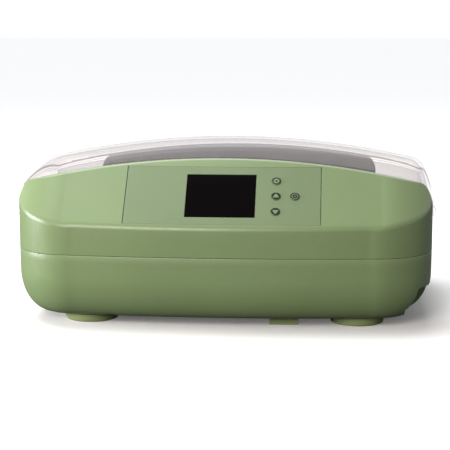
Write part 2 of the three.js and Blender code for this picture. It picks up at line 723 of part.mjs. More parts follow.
const casing = new THREE.Group();
add(casing, 'base_shell', makeBaseShell(), GREEN);
add(casing, 'upper_shell', makeUpperShell(), GREEN);
add(casing, 'clear_lid', makeLid(), CLEAR);
for (const post of POSTS) {
  const foot = [Math.sign(post.x) * FOOT_AT[0], Math.sign(post.y) * FOOT_AT[1]];
  add(casing, `foot_${post.name}`, makeFoot(...foot), FOOT_GREEN);
  add(casing, `case_screw_${post.name}`, makeCaseScrew(post), STEEL);
}
const pad = REST_PAD;
add(casing, 'front_rest_pad', box(pad.x0, pad.x1, pad.y0, pad.y1, 0, FOOT.h), FOOT_GREEN);
incubator.add(casing);

const controls = new THREE.Group();
add(controls, 'control_panel', makeControlPanel(), PANEL_GREEN);
add(controls, 'display_window', fasciaBlock(SCREEN, 0.1, 1.4), BLACK);
add(controls, 'display_module', makeDisplayModule(), DARK);
add(controls, 'control_board', fasciaSlab(CONTROL_BOARD), BOARD);
for (const [name, [x, s]] of Object.entries(BUTTONS)) {
  add(controls, `${name}_button`, makeButton(x, s), DARK);
  add(controls, `${name}_switch`, makeSwitch(x, s), STEEL);
}
incubator.add(controls);

const electrics = new THREE.Group();
const board = POWER_BOARD;
const deck = board.z1 + GAP; // the board's components stand here
const boardSolid = box(-board.halfW, board.halfW, board.y0, board.y1, board.z0, board.z1);
add(electrics, 'power_board', boardSolid, BOARD);
add(electrics, 'transformer', box(-48, -16, -98, -71, deck, 38), COPPER);
add(electrics, 'relay', box(8, 27, -100, -84, deck, 30), BLACK);
add(electrics, 'capacitor', cylinder(6, deck, 36, 42, -80, 20), DARK);
add(electrics, 'mains_inlet', makeInlet(), BLACK);
add(electrics, 'mains_pin_front', makeInletPin(-1), STEEL);
add(electrics, 'mains_pin_rear', makeInletPin(1), STEEL);
add(electrics, 'temperature_probe', makeProbe(), STEEL);
incubator.add(electrics);

const airSystem = new THREE.Group();
add(airSystem, 'air_duct', makeDuct(), GREY);
add(airSystem, 'fan_guard', makeFanGuard(), GREY);
add(airSystem, 'fan_frame', makeFanFrame(), DARK);
add(airSystem, 'fan_rotor', makeFanRotor(), DARK);
add(airSystem, 'heater', makeHeater(), STEEL);
incubator.add(airSystem);

const eggTurner = new THREE.Group();
add(eggTurner, 'water_tray', makeWaterTray(), WHITE);
add(eggTurner, 'egg_floor', makeFloor(), WHITE);
add(eggTurner, 'egg_tray_frame', makeCarriage(), WHITE);
for (let i = 0; i < ROLLER.count; i += 1) {
  add(eggTurner, `egg_roller_${i + 1}`, makeRoller(rollerX(i)), WHITE);
}
add(eggTurner, 'drive_pinion', makePinion(), WHITE);
add(eggTurner, 'turning_motor', makeMotor(), STEEL);
incubator.add(eggTurner);

export default incubator;
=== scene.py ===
"""Tabletop egg incubator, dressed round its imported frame.

Shapes are worked out in millimetres and built in metres, in the row frame: +X to the
user's right, the fascia faces -Y, +Z up.
"""
import math

import bmesh
import bpy
from mathutils import Matrix, Vector


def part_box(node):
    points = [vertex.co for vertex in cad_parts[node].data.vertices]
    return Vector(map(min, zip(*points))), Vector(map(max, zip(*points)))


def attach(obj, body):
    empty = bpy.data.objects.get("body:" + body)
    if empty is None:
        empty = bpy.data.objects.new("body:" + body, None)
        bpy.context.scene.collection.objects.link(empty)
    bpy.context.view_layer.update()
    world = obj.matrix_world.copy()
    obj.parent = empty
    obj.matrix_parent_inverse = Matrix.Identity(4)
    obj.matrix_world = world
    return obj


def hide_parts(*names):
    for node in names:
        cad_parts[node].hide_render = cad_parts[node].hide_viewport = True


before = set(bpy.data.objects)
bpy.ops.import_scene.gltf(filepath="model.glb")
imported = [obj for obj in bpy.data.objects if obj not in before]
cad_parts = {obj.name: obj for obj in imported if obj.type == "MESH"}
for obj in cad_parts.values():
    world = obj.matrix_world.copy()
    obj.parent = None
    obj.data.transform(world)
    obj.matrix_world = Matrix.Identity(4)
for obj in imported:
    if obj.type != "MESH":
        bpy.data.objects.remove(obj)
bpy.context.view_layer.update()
MM = 0.001


def cad(node):
    """Lowest and highest corner of a CAD node, in millimetres."""
    low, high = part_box(node)
    return low / MM, high / MM


# ------------------------------------------------------------------ driving dimensions
BASE_LOW, BASE_HIGH = cad("base_shell")
UPPER_LOW, UPPER_HIGH = cad("upper_shell")
LID_LOW, LID_HIGH = cad("clear_lid")
WALL = 2.5
GAP = 0.3
SHARP = 32.0  # degrees between two faces past which their edge stays sharp
PAST = 5  # usual reach of a cutter past what it cuts
HALF_W = BASE_HIGH.x
FRONT = BASE_LOW.y
REAR = BASE_HIGH.y
UNDERSIDE = BASE_LOW.z
SEAM = BASE_HIGH.z + GAP / 2
RIM_Z = UPPER_HIGH.z
CORNER_R = 47.5
BULGE = 6.4
ROUND_WIDE, ROUND_HIGH = 20.0, 31.0
LEDGE = 83.7
BASE_DRAFT = 0.8  # how far the base leans in from the seam to its foot
BASE_LIP, LEDGE_LIP, NO_LIP = 0.55, 1.2, 0.01
WALL_HEIGHTS = (43.0, 49.0)  # rings of the base above its rounded foot
ROUND_STEPS = 24
SIDE_WALL_FRONT = -66.0

TILT = math.radians(43.5)
CREASE = 77.0
ARCH_R = 649.0
FASCIA_HALF_W = 162.5
FASCIA_R = 44.0
RIM_BACK = -77.5
CREASE_R, BROW_R = 7.0, 3.4
STEP_DROP = 4.0
SIDE_FALL, SIDE_RUN = 20.2, 10.0  # elliptical fall of the arch into the side walls
PARTITION, CHAMBER_FRONT = -62.0, -59.5
CHAMBER_W, CHAMBER_REAR, CHAMBER_LOW = 138.0, 105.0, UPPER_LOW.z
CHAMBER_R, CHAMBER_FRONT_R = 15.0, 3
VENT_PITCH, VENT_HALF_W, VENT_LOW, VENT_HIGH = 9, 2, 66, 76

LID_WALL = 2.2
LID_FLANGE = 2.0
LID_W = LID_HIGH.x - LID_FLANGE
LID_REAR = LID_HIGH.y - LID_FLANGE
ROOF_TOP, ROOF_RIDGE, ROOF_FALL, ROOF_R = 131.9, 5.0, 0.00112, 680.0
LID_CORNER_R, LID_FRONT_R = CORNER_R + 3, 9
FLANGE_TOP, LID_FOOT = LID_LOW.z + 2.1, LID_LOW.z + 2.6
LID_LEAN, LID_REAR_LEAN = 4.4, 1.5  # of the side walls, and as many times that at the rear
LID_SHOULDER, LID_REAR_EDGE = 8.5, 1.8
# bands of the lid's walls where dark lines are painted: painted shade standing in for internal
# reflection in the clear walls
LID_SHADE_LINES = ((0.83, 0.845), (0.905, 0.92), (0.985, 1.0))  # from, to: shares of the walls' height
LID_ROOM = 0.6  # the lid's clearance over the case

PANEL = (-71.5, 73.5, 3.5, 56.5)  # x from, x to, distance up the slope from, to
PANEL_DEPTH = 1.6
GROOVE = 0.55  # open joint at either end of the panel
SCREEN = (-26.0, 25.4, 10.4, 49.2)
KEYS = {"set": (40.6, 43.4), "up": (40.6, 29.5), "down": (40.6, 15.6), "power": (54.6, 29.4)}
KEY_R, KEY_TOP, KEY_FOOT = 3.3, 0.52, -7.2
KEY_STEM_R, KEY_FLANGE_R, KEY_FLANGE = 1.5, 4.5, (-5.8, -4.8)
MARK_R, MARK_LOW, MARK_HIGH = 3.1, 0.5, 0.6
ARROW = ((-2.35, -1.35), (2.35, -1.35), (2.1, -0.6), (0.6, 2.1), (-0.6, 2.1), (-2.1, -0.6))
SIGHT_RIM = 1.5  # rim of the case under the screen's edge
POSTS = {"front": (84.0, -104.0, 17.0), "rear": (84.0, 113.3, 27.0)}  # x, y, screw seat
POST_R, POST_TOP, HEAD_R, SCREW_R, SCREW_BORE = 5.0, 81.0, 4.1, 1.95, (50, 70)
BAY = {"x": 137.0, "back": 3, "y": (-100.0, -58.0), "top": 30.0}
INLET = {"y": -79.0, "z": 20.7, "half_y": 9.0, "half_z": 6.5}
DUCT_LOW, DUCT_HIGH = cad("air_duct")
DUCT_R, DUCT_WALL, DUCT_LIP = 668.0, 2.0, 4.5
DUCT_END, DUCT_END_FALL = 7, 9  # run and fall of its rounded ends
FAN_Z, FAN_MOUTH_R = 88.0, 19.4
SLOT_START, SLOT_PITCH, SLOT_HALF_W, SLOT_LOW, SLOT_HIGH = 44, 9, 2, 68, 96
DUCT_LINE = {"x": 86, "half_w": 0.5, "depth": 0.8, "low": 99, "high": 130}
ROLLER_R, WHEEL_R, AXLE_R = 8.0, 9.2, 2.4

CAMERA_DISTANCE, CAMERA_HEIGHT, CAMERA_YAW = 1101.1, 228.9, 0.0709
CAMERA_AIM = (-4.9, 0.0, 60.75)
FOCAL_WIDTHS = 3.0207  # focal length over the picture's width
SENSOR = 36.0
LIGHT_AIM = (0, 0, 0.08)  # metres


# ------------------------------------------------------------------ materials
NOISE_LOW, NOISE_HIGH = 0.3, 0.7  # the band that a noise texture's values mostly lie in
GRAIN_SCALE = 2200.0


def node_tree(name):
    material = bpy.data.materials.new(name)
    material.use_nodes = True
    tree = material.node_tree
    return material, tree, tree.nodes["Principled BSDF"]


def noise(tree, scale, detail, stretch=(1, 1, 1)):
    """Noise in the object's own coordinates, so that its grain has a real size."""
    coords = tree.nodes.new("ShaderNodeTexCoord")
    mapping = tree.nodes.new("ShaderNodeMapping")
    mapping.inputs["Scale"].default_value = stretch
    texture = tree.nodes.new("ShaderNodeTexNoise")
    texture.inputs["Scale"].default_value = scale
    texture.inputs["Detail"].default_value = detail
    tree.links.new(coords.outputs["Object"], mapping.inputs["Vector"])
    tree.links.new(mapping.outputs["Vector"], texture.inputs["Vector"])
    return texture.outputs["Fac"]


def ramp(tree, factor, low, high):
    node = tree.nodes.new("ShaderNodeValToRGB")
    node.color_ramp.elements[0].position = NOISE_LOW
    node.color_ramp.elements[0].color = (*low, 1)
    node.color_ramp.elements[1].position = NOISE_HIGH
    node.color_ramp.elements[1].color = (*high, 1)
    tree.links.new(factor, node.inputs["Fac"])
    return node.outputs["Color"]


def spread(tree, factor, low, high):
    node = tree.nodes.new("ShaderNodeMapRange")
    node.inputs["From Min"].default_value = NOISE_LOW
    node.inputs["From Max"].default_value = NOISE_HIGH
    node.inputs["To Min"].default_value = low
    node.inputs["To Max"].default_value = high
    tree.links.new(factor, node.inputs["Value"])
    return node.outputs["Result"]


def bump(tree, factor, shader, depth):
    node = tree.nodes.new("ShaderNodeBump")
    node.inputs["Distance"].default_value = depth
    tree.links.new(factor, node.inputs["Height"])
    tree.links.new(node.outputs["Normal"], shader.inputs["Normal"])


def shade(colour, share):
    return tuple(c * share for c in colour)


def moulded(name, colour, rough, grain=0.00002, vary=0.04, specular=0.5):
    """Moulded plastic: a fine spark-eroded grain, slow drift of colour and uneven gloss."""
    material, tree, shader = node_tree(name)
    drift = noise(tree, 14.0, 4.0)
    tint = ramp(tree, drift, shade(colour, 1 - vary), shade(colour, 1 + vary))
    tree.links.new(tint, shader.inputs["Base Color"])
    gloss = spread(tree, noise(tree, 240.0, 3.0), rough - 0.04, rough + 0.04)
    tree.links.new(gloss, shader.inputs["Roughness"])
    shader.inputs["Specular IOR Level"].default_value = specular
    bump(tree, noise(tree, GRAIN_SCALE, 2.0), shader, grain)
    return material


def metal(name, colour, rough, stretch=(1, 1, 30)):
    """Metal whose streaks, if any, run across the axis that is stretched the most."""
    material, tree, shader = node_tree(name)
    streak = noise(tree, 400.0, 4.0, stretch)
    tint = ramp(tree, streak, shade(colour, 0.85), colour)
    tree.links.new(tint, shader.inputs["Base Color"])
    tree.links.new(spread(tree, streak, rough - 0.08, rough + 0.1), shader.inputs["Roughness"])
    shader.inputs["Metallic"].default_value = 1.0
    bump(tree, streak, shader, 0.00002)
    return material


def clear_plastic(name, tint):
    """Clear polished plastic: it tints what lies behind it and mirrors at glancing angles."""
    material, tree, shader = node_tree(name)
    tree.nodes.remove(shader)
    through = tree.nodes.new("ShaderNodeBsdfTransparent")
    through.inputs["Color"].default_value = (*tint, 1)
    mirror = tree.nodes.new("ShaderNodeBsdfGlossy")
    mirror.inputs["Color"].default_value = (0.84, 0.82, 0.82, 1)
    gloss = spread(tree, noise(tree, 60.0, 2.0), 0.03, 0.07)
    tree.links.new(gloss, mirror.inputs["Roughness"])
    edge = tree.nodes.new("ShaderNodeLayerWeight")
    edge.inputs["Blend"].default_value = 0.04
    mix = tree.nodes.new("ShaderNodeMixShader")
    tree.links.new(edge.outputs["Facing"], mix.inputs["Fac"])
    tree.links.new(through.outputs["BSDF"], mix.inputs[1])
    tree.links.new(mirror.outputs["BSDF"], mix.inputs[2])
    tree.links.new(mix.outputs["Shader"], tree.nodes["Material Output"].inputs["Surface"])
    return material


GREEN = moulded("sage_green", (0.190, 0.258, 0.113), rough=0.33)
PANEL_GREEN = moulded("panel_green", (0.155, 0.210, 0.098), rough=0.36, grain=0.00001)
# lighter copy of the body's green on the feet and the rest pad: painted light, brightening parts that
# sit in the body's shade
LIT_FOOT_GREEN = moulded("foot_green", (0.25, 0.30, 0.125), rough=0.5)
PRINT = moulded("printed_ink", (0.010, 0.014, 0.008), rough=0.6, vary=0.1, specular=0.15)
SCREEN_BLACK = moulded(
    "screen_black", (0.0040, 0.0034, 0.0038), rough=0.12, grain=0.000002, specular=0.002,
)
CLEAR = clear_plastic("clear_plastic", (0.975, 0.962, 0.960))
# dark tint painted on lines of the lid and on its shoulder's start: painted shade standing in for
# internal reflection in the clear walls
CLEAR_PAINTED_SHADE = clear_plastic("clear_plastic_painted_shade", (0.40, 0.37, 0.36))
# greyer tint on the lid's rear walls below the painted lines
CLEAR_GREY_BAND = clear_plastic("clear_plastic_grey_band", (0.66, 0.63, 0.64))
DUCT_GREY = moulded("duct_grey", (0.128, 0.120, 0.131), rough=0.34, specular=0.4)
BLACK = moulded("black_plastic", (0.018, 0.018, 0.019), rough=0.45)
WHITE = moulded("white_plastic", (0.74, 0.74, 0.71), rough=0.4, vary=0.02)
ROLLER_WHITE = moulded("roller_plastic", (0.70, 0.70, 0.68), rough=0.35, vary=0.02)
BOARD = moulded("circuit_board", (0.012, 0.085, 0.035), rough=0.35, vary=0.25)
LAMINATION = metal("laminated_iron", (0.16, 0.10, 0.07), rough=0.45, stretch=(1, 1, 60))
STEEL = metal("drawn_steel", (0.56, 0.57, 0.58), rough=0.32)
ZINC = metal("zinc_plate", (0.50, 0.50, 0.47), rough=0.38, stretch=(1, 1, 1))
FIN = metal("aluminium_fin", (0.72, 0.72, 0.73), rough=0.3, stretch=(1, 1, 20))
PIN = metal("plated_pin", (0.72, 0.68, 0.56), rough=0.25, stretch=(20, 1, 1))


# ------------------------------------------------------------------ mesh building
LEG_SHARE = 0.45  # share of a straight leg that a rounded corner usually may use up
QUARTER = math.pi / 2


def make(name, verts, faces, material=None, sharp=SHARP):
    """Mesh object from points in millimetres, smooth except over edges past `sharp` degrees."""
    mesh = bpy.data.meshes.new(name)
    mesh.from_pydata([(x * MM, y * MM, z * MM) for x, y, z in verts], [], faces)
    bm = bmesh.new()
    bm.from_mesh(mesh)
    bmesh.ops.remove_doubles(bm, verts=bm.verts, dist=1e-6)
    bmesh.ops.dissolve_degenerate(bm, edges=bm.edges, dist=1e-7)
    bmesh.ops.recalc_face_normals(bm, faces=bm.faces)
    bm.to_mesh(mesh)
    bm.free()
    obj = bpy.data.objects.new(name, mesh)
    bpy.context.scene.collection.objects.link(obj)
    if material:
        dress(obj, material)
    soften(obj, sharp)
    return obj


def dress(obj, material):
    obj.data.materials.clear()
    obj.data.materials.append(material)


def soften(obj, sharp):
    obj.data.shade_smooth()
    obj.data.set_sharp_from_angle(angle=math.radians(sharp))


def combine(target, others, operation="DIFFERENCE", sharp=SHARP):
    """Joins or cuts `target` with the other objects, which are used up."""
    for other in others:
        step = target.modifiers.new("shape", "BOOLEAN")
        step.operation = operation
        step.solver = "MANIFOLD"
        step.object = other
    graph = bpy.context.evaluated_depsgraph_get()
    shaped = bpy.data.meshes.new_from_object(target.evaluated_get(graph))
    target.modifiers.clear()
    target.data = shaped
    for other in others:
        bpy.data.objects.remove(other)
    soften(target, sharp)
    return target


def clamp(value, low, high):
    return min(max(value, low), high)


def finish_piece(obj, body, slot, *nodes):
    """Hands a finished piece to its body and hides the CAD nodes it stands for; its slot is not used.
    """
    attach(obj, body)
    if nodes:
        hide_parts(*nodes)


def loft(rings):
    """Closed skin through rings that all hold the same number of [x, y, z] points."""
    count = len(rings[0])
    verts = [point for ring in rings for point in ring]
    faces = []
    for k in range(len(rings) - 1):
        for i in range(count):
            j = (i + 1) % count
            faces.append((k * count + i, k * count + j, (k + 1) * count + j, (k + 1) * count + i))
    faces.append(tuple(reversed(range(count))))
    faces.append(tuple(range((len(rings) - 1) * count, len(rings) * count)))
    return verts, faces


def box(x0, x1, y0, y1, z0, z1):
    ring = [(x0, y0), (x1, y0), (x1, y1), (x0, y1)]
    verts, faces = loft([level(ring, z0), level(ring, z1)])
    return make("block", verts, faces)


def prism(outline, z0, z1):
    verts, faces = loft([level(outline, z0), level(outline, z1)])
    return make("prism", verts, faces)


def level(outline, z):
    return [(x, y, z) for x, y in outline]


def turned(name, profile, material=None, sides=64, sharp=SHARP):
    """Solid turned about Z from (radius, z) pairs, from axis to axis or closed on themselves."""
    verts, faces = [], []
    count = len(profile)
    for i in range(sides):
        a = 2 * math.pi * i / sides
        verts += [(r * math.cos(a), r * math.sin(a), z) for r, z in profile]
    for i in range(sides):
        j = (i + 1) % sides
        for k in range(count - 1):
            faces.append((i * count + k, j * count + k, j * count + k + 1, i * count + k + 1))
    return make(name, verts, faces, material, sharp)


def cylinder(r, z0, z1, x=0.0, y=0.0, sides=48):
    obj = turned("rod", [(0, z0), (r, z0), (r, z1), (0, z1)], sides=sides)
    return moved(obj, Matrix.Translation(Vector((x, y, 0)) * MM))


def moved(obj, matrix):
    obj.data.transform(matrix)
    return obj


def round_corner(before, corner, after, radius, steps, spare=LEG_SHARE):
    """Points of a rounded corner of a polyline, using up to `spare` of the second leg."""
    a, b, c = Vector(before), Vector(corner), Vector(after)
    to_a, to_c = a - b, c - b
    if to_a.length < 1e-6 or to_c.length < 1e-6:
        return [tuple(b)] * (steps + 1)
    turn = math.pi - to_a.angle(to_c)
    reach = min(radius * math.tan(turn / 2), LEG_SHARE * to_a.length, spare * to_c.length)
    start, end = b + to_a.normalized() * reach, b + to_c.normalized() * reach
    points = []
    for i in range(steps + 1):
        t = i / steps
        points.append(tuple(start * (1 - t) ** 2 + b * 2 * t * (1 - t) + end * t * t))
    return points


# ------------------------------------------------------------------ outlines in plan
def arc(cx, cy, r, start, end, steps):
    points = []
    for i in range(steps + 1):
        a = math.radians(start + (end - start) * i / steps)
        points.append((cx + r * math.cos(a), cy + r * math.sin(a)))
    return points


def between(a, b, parts):
    """Points strictly between a and b."""
    return [
        (a[0] + (b[0] - a[0]) * i / parts, a[1] + (b[1] - a[1]) * i / parts)
        for i in range(1, parts)
    ]


def plan(half_w, front, rear, front_r, rear_r, bulge=0.0, steps=20, bow=48, sides=12, back=32):
    """Counter-clockwise rounded rectangle whose front edge bows out by `bulge`."""
    straight = half_w - front_r
    shoulder = front + bulge
    left = arc(-straight, shoulder + front_r, front_r, 180, 270, steps)
    right = arc(straight, shoulder + front_r, front_r, 270, 360, steps)
    middle = [
        (x, front + bulge * (x / straight) ** 2)
        for x, _ in between((-straight, 0), (straight, 0), bow)
    ]
    rear_right = arc(half_w - rear_r, rear - rear_r, rear_r, 0, 90, steps)
    rear_left = arc(rear_r - half_w, rear - rear_r, rear_r, 90, 180, steps)
    return [
        *left, *middle, *right,
        *between(right[-1], rear_right[0], sides), *rear_right,
        *between(rear_right[-1], rear_left[0], back), *rear_left,
        *between(rear_left[-1], left[0], sides),
    ]


def body_plan(inset=0.0):
    r = CORNER_R - inset
    return plan(HALF_W - inset, FRONT + inset, REAR - inset, r, r, BULGE)


def body_front(inset):
    """The front of the body's outline, from the left side round to the right."""
    corner_parts, middle_parts = 60, 64
    straight, r = HALF_W - CORNER_R, CORNER_R - inset
    y = FRONT + BULGE + CORNER_R
    marks = [PANEL[0] - GROOVE, PANEL[1] + GROOVE]
    even = [-straight + 2 * straight * i / middle_parts for i in range(1, middle_parts)]
    xs = sorted(even + marks)
    middle = [(x, FRONT + inset + BULGE * (x / straight) ** 2) for x in xs]
    return [
        *arc(-straight, y, r, 180, 270, corner_parts), *middle,
        *arc(straight, y, r, 270, 360, corner_parts),
    ]


def chamber_plan(grown):
    return plan(
        CHAMBER_W + grown, CHAMBER_FRONT - grown, CHAMBER_REAR + grown,
        CHAMBER_FRONT_R + grown, CHAMBER_R + grown, steps=12, bow=2, sides=2, back=2,
    )


# ------------------------------------------------------------------ fascia and arch
def arch_drop(x, r):
    return r - math.sqrt(r * r - x * x)


def arch_z(x, drop=0.0, inset=0.0):
    """Height of the arched top at x: it falls into the side walls as a quarter ellipse."""
    edge = HALF_W - inset - SIDE_RUN
    u = clamp((abs(x) - edge) / SIDE_RUN, 0.0, 1.0)
    fall = (SIDE_FALL - drop) * (1 - math.sqrt(1 - u * u))
    return RIM_Z - drop - arch_drop(x, ARCH_R) - fall


def fascia_y(x, z, depth=0.0):
    """y of the sloping fascia at (x, z), at a depth below its surface."""
    straight = FASCIA_HALF_W - FASCIA_R
    over = abs(x) - straight
    if over <= 0:
        y = FRONT + BULGE * (x / straight) ** 2
    else:
        y = FRONT + BULGE + FASCIA_R - math.sqrt(FASCIA_R ** 2 - over ** 2)
    return y + (z - CREASE) * math.tan(TILT) + depth / math.cos(TILT)


def slope_z(s):
    """Height of the point a distance s up the fascia from its crease."""
    return CREASE + s * math.cos(TILT)


def on_fascia(x, s, depth=0.0):
    z = slope_z(s) - depth * math.sin(TILT)
    y = fascia_y(x, slope_z(s)) + depth * math.cos(TILT)
    return Vector((x, y, z))


def facing(x, s):
    """Matrix that carries a shape onto the fascia, its Z outward and its Y up the slope."""
    lean = Matrix.Rotation(QUARTER - TILT, 4, "X")
    return Matrix.Translation(on_fascia(x, s) * MM) @ lean


def sweep(name, xs, section, material=None, sharp=SHARP):
    """Closed solid from one closed section of (y, z) points at each x."""
    rings = [[(x, y, z) for y, z in section(x)] for x in xs]
    verts, faces = loft(rings)
    return make(name, verts, faces, material, sharp)


def steps_between(start, end, parts):
    return [start + (end - start) * i / parts for i in range(parts + 1)]


# ------------------------------------------------------------------ body shells
def base_inset(z):
    rise = min((z - UNDERSIDE) / ROUND_HIGH, 1.0)
    curve = ROUND_WIDE * (1 - math.sqrt(max(1 - (1 - rise) ** 2, 0)))
    return curve + BASE_DRAFT * max(SEAM - z, 0) / SEAM


def base_solid(inset, top, lip):
    """Solid of the base up to `top`, its upper edge rounded by `lip`."""
    rings, lip_steps = [], 3
    for i in range(ROUND_STEPS + 1):
        share = 1 - math.cos(QUARTER * i / ROUND_STEPS)
        z = UNDERSIDE + share * ROUND_HIGH
        rings.append(level(body_plan(base_inset(z) + inset), z + inset * (1 - share) ** 2))
    for z in WALL_HEIGHTS:
        rings.append(level(body_plan(base_inset(z) + inset), z))
    for k in range(lip_steps + 1):
        a = QUARTER * k / lip_steps
        edge = inset + base_inset(top - lip)
        rings.append(level(body_plan(edge + lip * (1 - math.cos(a))), top - lip + lip * math.sin(a)))
    return make("base", *loft(rings))


def screw_places():
    """x, y and seat height of the four case screws."""
    for x, y, seat in POSTS.values():
        for side in (-1, 1):
            yield side * x, y, seat


def make_base_shell():
    top = SEAM - GAP / 2
    bay_y0, bay_y1 = BAY["y"]
    shell = base_solid(0.0, top, BASE_LIP)
    shell.name = "base_shell_skin"
    outer = shell.data.copy()
    combine(shell, [base_solid(WALL, top + 2 * PAST, NO_LIP)])
    added = [box(
        BAY["x"] - BAY["back"], HALF_W, bay_y0 - WALL, bay_y1 + WALL,
        UNDERSIDE, BAY["top"] + WALL,
    )]
    for x, y, _ in screw_places():
        added.append(cylinder(POST_R, UNDERSIDE, top - 1, x, y, 32))
    for piece in added:
        envelope = bpy.data.objects.new("envelope", outer)
        bpy.context.scene.collection.objects.link(envelope)
        combine(piece, [envelope], "INTERSECT")
    combine(shell, added, "UNION")
    cuts = [box(BAY["x"], HALF_W + PAST, bay_y0, bay_y1, -1, BAY["top"])]
    inlet_y, inlet_z = INLET["half_y"] + GAP, INLET["half_z"] + GAP
    cuts.append(box(
        BAY["x"] - PAST, BAY["x"] + PAST, INLET["y"] - inlet_y, INLET["y"] + inlet_y,
        INLET["z"] - inlet_z, INLET["z"] + inlet_z,
    ))
    for x, y, seat in screw_places():
        cuts.append(cylinder(HEAD_R, 0, seat, x, y))
        cuts.append(cylinder(SCREW_R, 0, top + 1, x, y, 24))
    combine(shell, cuts)
    dress(shell, GREEN)
    finish_piece(shell, "body", "green_shell", "base_shell")


def housing_section(x, wall_y, inset, drop, back, low):
    """Section of the front housing at one point of the body's outline."""
    outer = inset == 0
    least_rise, rim_flat, slope_parts = 0.3, 0.35, 6
    top = arch_z(x, drop, inset)
    crease = CREASE + (wall_y - fascia_y(x, CREASE, inset)) / math.tan(TILT)
    crease = min(crease, top - least_rise)
    rim_y = wall_y + (top - crease) * math.tan(TILT)
    rim_back = max(RIM_BACK, rim_y + rim_flat) if outer else back - 0.5
    corner, rim = (wall_y, crease), (rim_y, top)
    bend = round_corner((wall_y, low), corner, rim, CREASE_R, 8)
    brow = round_corner(corner, rim, (rim_back, top), BROW_R, 8, 0.85)
    start, end = bend[-1][1], brow[0][1]
    span = max(end - start, 1e-6)
    low_mark = clamp((slope_z(PANEL[2] - GAP) - start) / span, 0.02, 0.3)
    high_mark = clamp((slope_z(PANEL[3] + GAP) - start) / span, 0.7, 0.985)
    slope = [
        (bend[-1][0] + (brow[0][0] - bend[-1][0]) * t, start + span * t)
        for t in steps_between(low_mark, high_mark, slope_parts)
    ]
    section = [(wall_y, low), (wall_y, low + (crease - low) * 0.5), *bend, *slope, *brow]
    if outer:
        step = arch_z(x, STEP_DROP)
        section += [(rim_back, top), (rim_back, min(step, top)), (back, min(step, top))]
    else:
        section += [(rim_back, top), (rim_back + 0.2, top), (back, top)]
    return [*section, (back, low)]


def housing(inset, drop, back, low):
    rings = []
    for x, y in body_front(inset):
        rings.append([(x, py, pz) for py, pz in housing_section(x, y, inset, drop, back, low)])
    return make("housing", *loft(rings))


def wall_block(inset, low, high, lip):
    """Side and rear walls of the upper case half as one block, rounded by `lip` on top."""

    def outline(grow):
        return plan(
            HALF_W - inset - grow, SIDE_WALL_FRONT, REAR - inset - grow, 0.5,
            CORNER_R - inset - grow, steps=20, bow=2, sides=2, back=2,
        )

    lip_steps = 4
    stack = [level(outline(0), z) for z in (low, (low + high) / 2, high - lip)]
    for k in range(1, lip_steps + 1):
        a = QUARTER * k / lip_steps
        stack.append(level(outline(lip * (1 - math.cos(a))), high - lip + lip * math.sin(a)))
    return make("wall_block", *loft(stack))


def make_upper_shell():
    low = SEAM + GAP / 2
    shell = housing(0.0, 0.0, CHAMBER_FRONT, low)
    shell.name = "upper_shell_skin"
    combine(shell, [wall_block(0.0, low, LEDGE, LEDGE_LIP)], "UNION")
    combine(shell, [
        housing(WALL, STEP_DROP + WALL, PARTITION, low - PAST),
        wall_block(WALL, low - PAST, LEDGE - WALL, NO_LIP),
    ])
    combine(shell, [prism(chamber_plan(WALL), CHAMBER_LOW, LEDGE)], "UNION")
    posts = []
    for x, y, _ in screw_places():
        posts.append(cylinder(POST_R, low + 0.5, POST_TOP, x, y, 32))
    combine(shell, posts, "UNION")
    below, above = 30, 140
    cuts = [prism(chamber_plan(0), below, above)]
    for x, y, _ in screw_places():
        cuts.append(cylinder(SCREW_R, *SCREW_BORE, x, y, 24))
    cuts.append(fascia_slab("pocket", widened(PANEL, GROOVE, 0.05), -1.0, PANEL_DEPTH + GAP))
    cuts.append(fascia_slab("sight", widened(SCREEN, -SIGHT_RIM, -SIGHT_RIM), -2, 12))
    cuts += key_holes()
    for i in range(-3, 4):
        x = i * VENT_PITCH
        cuts.append(box(
            x - VENT_HALF_W, x + VENT_HALF_W, CHAMBER_REAR - 2, REAR + 2, VENT_LOW, VENT_HIGH,
        ))
    combine(shell, cuts)
    dress(shell, GREEN)
    finish_piece(shell, "body", "green_shell", "upper_shell")


def widened(window, x_margin, s_margin):
    """A fascia window grown at its ends and along the slope, or shrunk by negative margins."""
    x0, x1, s0, s1 = window
    return x0 - x_margin, x1 + x_margin, s0 - s_margin, s1 + s_margin


def key_holes():
    """Cutters for the four key holes, through the fascia and its insert."""
    return [moved(cylinder(KEY_R + GAP, -9, 3), facing(x, s)) for x, s in KEYS.values()]


def fascia_slab(name, window, outer, inner, lip=0.0, parts=48, material=None):
    """Block of the fascia between two depths, over a window of x and distance up the slope."""
    x0, x1, s0, s1 = window

    def section(x):
        corners = [on_fascia(x, s, d) for s, d in ((s0, outer), (s1, outer), (s1, inner), (s0, inner))]
        points = []
        for k, corner in enumerate(corners):
            before, after = corners[k - 1], corners[(k + 1) % 4]
            if k < 2 and lip > 0:
                points += round_corner(before.yz, corner.yz, after.yz, lip, 3)
            else:
                points.append((corner.y, corner.z))
        return points

    return sweep(name, steps_between(x0, x1, parts), section, material)


# ------------------------------------------------------------------ lid
def roof_z(x, y):
    return ROOF_TOP - ROOF_FALL * (y - ROOF_RIDGE) ** 2 - arch_drop(x, ROOF_R)


def lid_plan(inset, cut, rear_inset):
    """Outline of the lid, drawn in by `cut` at the front and by the insets elsewhere."""
    return plan(
        LID_W - inset, RIM_BACK + LID_ROOM + cut, LID_REAR - rear_inset,
        max(LID_FRONT_R - cut, 3), LID_CORNER_R - min(inset, 12),
        steps=16, bow=40, sides=24, back=40,
    )


